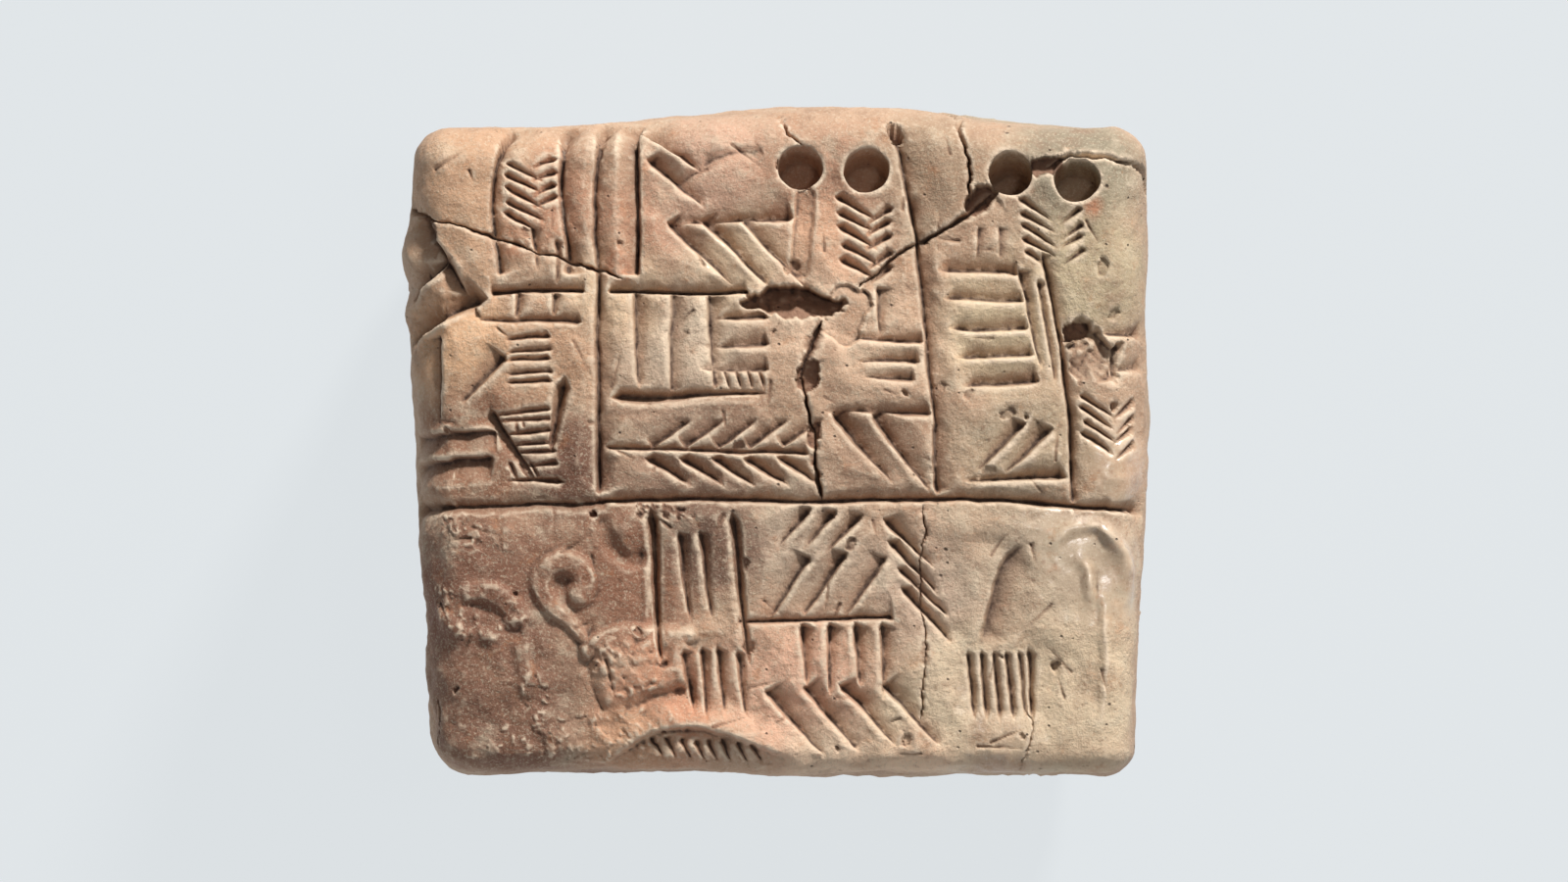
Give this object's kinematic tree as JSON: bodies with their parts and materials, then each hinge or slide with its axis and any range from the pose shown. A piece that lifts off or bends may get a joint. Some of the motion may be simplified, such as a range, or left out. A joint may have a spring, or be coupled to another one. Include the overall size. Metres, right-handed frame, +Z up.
{
  "type": "cuneiform tablet",
  "caption": "Thick cushion-shaped clay tablet with ruled cases, rows of pressed strokes, round number holes and low seal relief; lies on its back for display or handling.",
  "frame": {"origin": "under the middle of the block, on the surface that the tablet lies on", "axes": "+X to the right along the written face, +Y to the head of the face, +Z up, out of the written face"},
  "size_m": [0.06, 0.0544, 0.0415],
  "materials": {
    "clay": "unglazed dried clay, matte with worn burnished patches, buff to reddish brown and greenish grey"
  },
  "bodies": {
    "root": {"tablet": "clay"}
  },
  "joints": []
}
